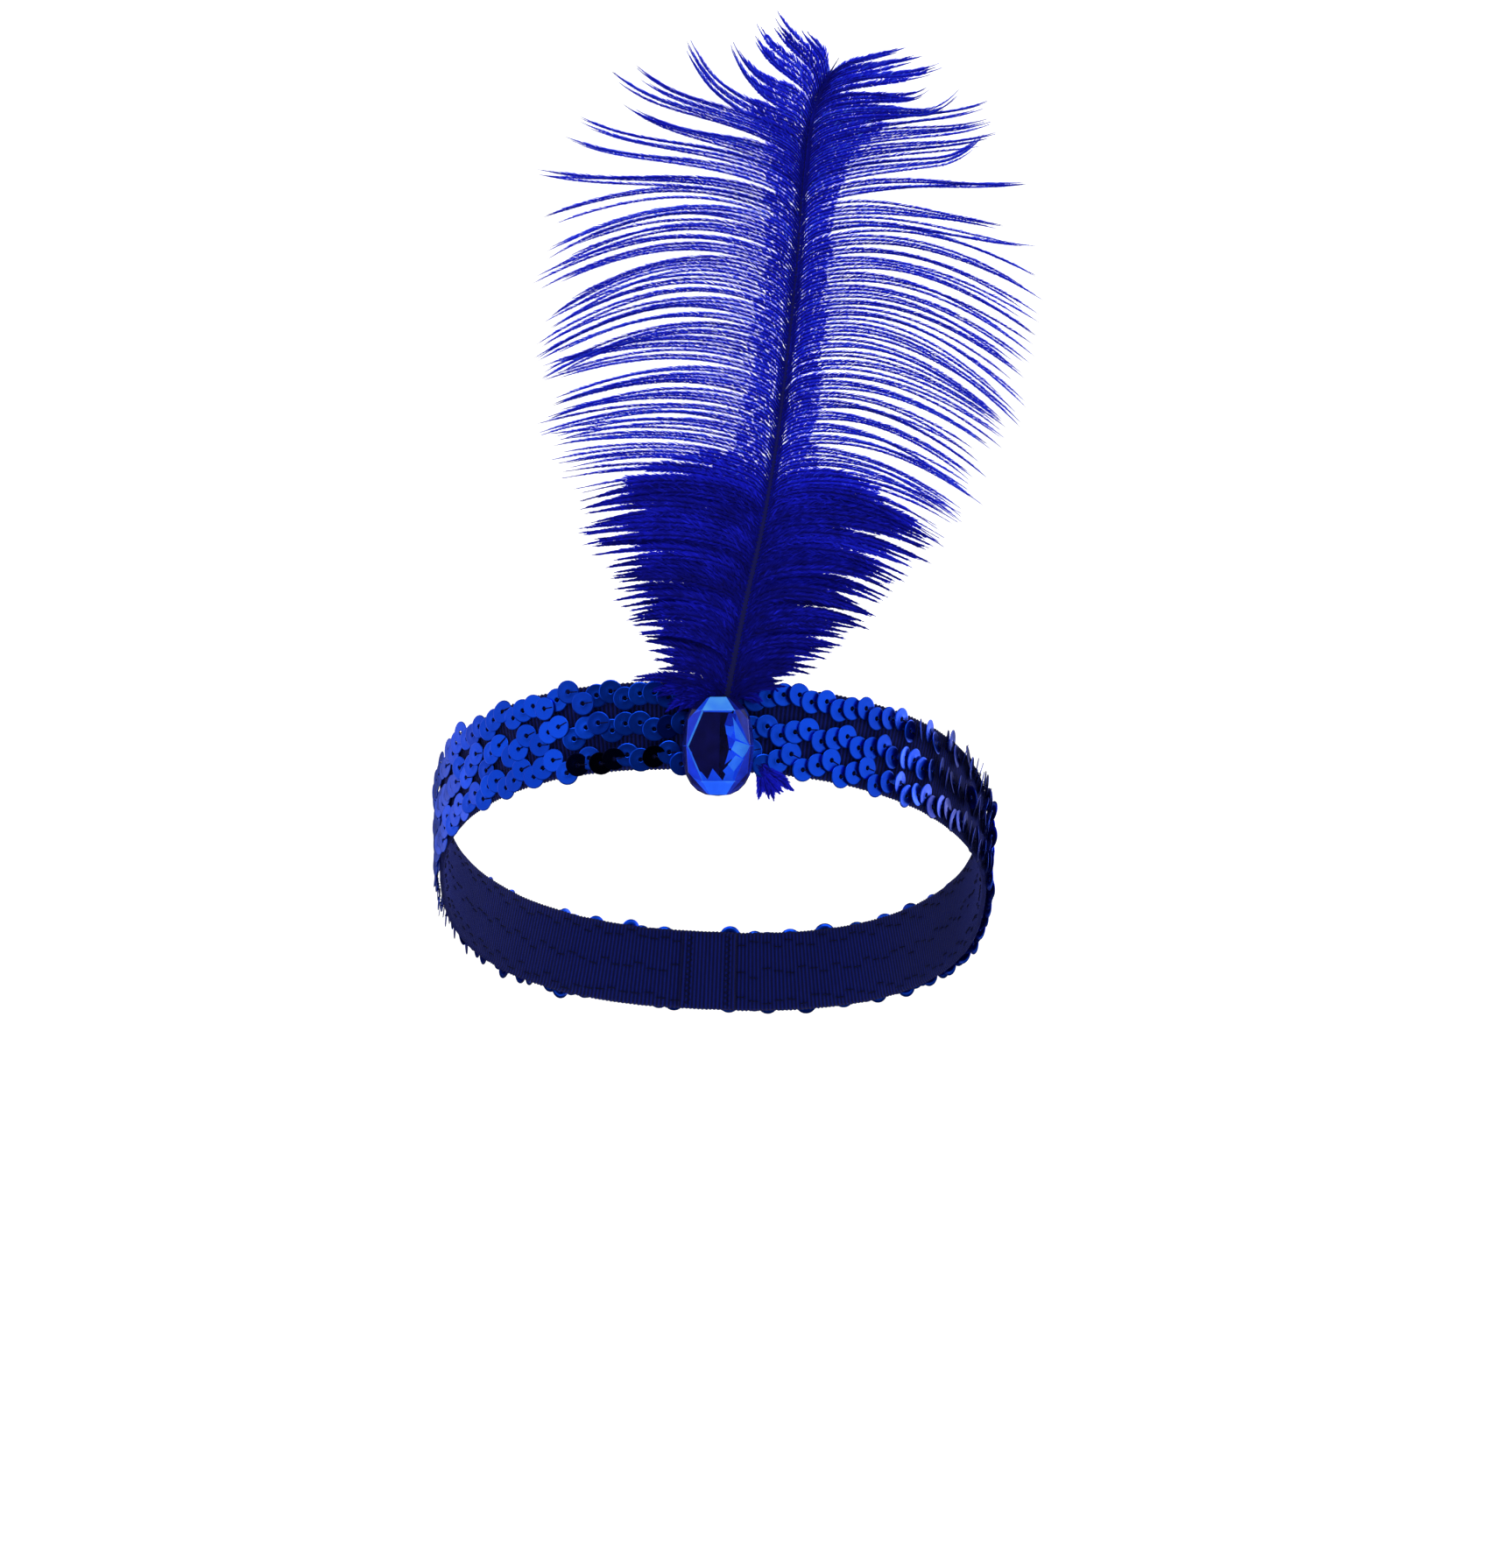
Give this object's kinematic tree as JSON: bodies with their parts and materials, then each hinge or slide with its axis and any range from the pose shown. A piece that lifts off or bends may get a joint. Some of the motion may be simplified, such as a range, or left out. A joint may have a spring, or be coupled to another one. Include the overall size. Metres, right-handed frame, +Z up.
{
  "type": "flapper headband",
  "caption": "Stretch headband sewn with lapped round sequins, with an oval cut stone at the forehead and an upright ostrich plume behind it.",
  "frame": {"origin": "centre of the head opening, half way along and across the worn loop, at the band's mid-height", "axes": "+Z up with the wearer upright, -Y the way the wearer faces (stone and plume in front), +X the wearer's left. The loop slopes 21 degrees down towards the back, as the picture shows it worn"},
  "size_m": [0.157, 0.1912, 0.256],
  "materials": {
    "elastic": "fine ribbed navy stretch fabric",
    "sequins": "metallised royal blue foil film",
    "stone": "clear blue acrylic, foiled back, polished facets",
    "pad": "plain dark glue",
    "shaft": "dyed quill, satin",
    "plume": "soft dyed ostrich barbs"
  },
  "bodies": {
    "root": {"elastic_band": "elastic", "sequin_row_top": "sequins", "sequin_row_middle": "sequins", "sequin_row_bottom": "sequins", "gem": "stone", "glue_pad": "pad", "quill": "shaft", "plume_left": "plume", "plume_right": "plume"}
  },
  "joints": []
}
